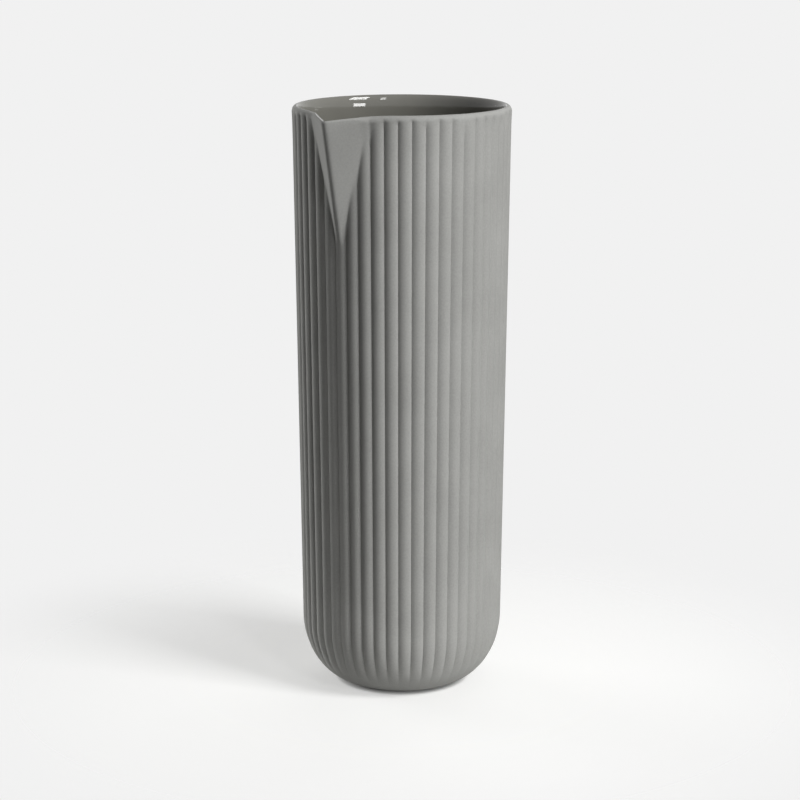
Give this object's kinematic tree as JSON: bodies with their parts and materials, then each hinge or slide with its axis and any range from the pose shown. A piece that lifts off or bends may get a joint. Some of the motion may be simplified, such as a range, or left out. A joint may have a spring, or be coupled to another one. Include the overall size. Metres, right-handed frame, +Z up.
{
  "type": "carafe",
  "caption": "Tall open stoneware carafe with vertical reeds, a pinched pouring spout, a round lower corner and a glossy glaze inside; holds and pours water or wine at the table.",
  "frame": {"origin": "centre of the flat foot, on the surface that the carafe stands on", "axes": "+Z up along the carafe's axis, -Y the way the spout pours, X across the spout"},
  "size_m": [0.0884, 0.0979, 0.24],
  "materials": {
    "bare_stoneware": "unglazed, matt, fine-grained mid grey",
    "clear_glaze": "clear gloss glaze over grey clay"
  },
  "bodies": {
    "root": {"fluted_body": "bare_stoneware", "inner_glaze": "clear_glaze"}
  },
  "joints": []
}
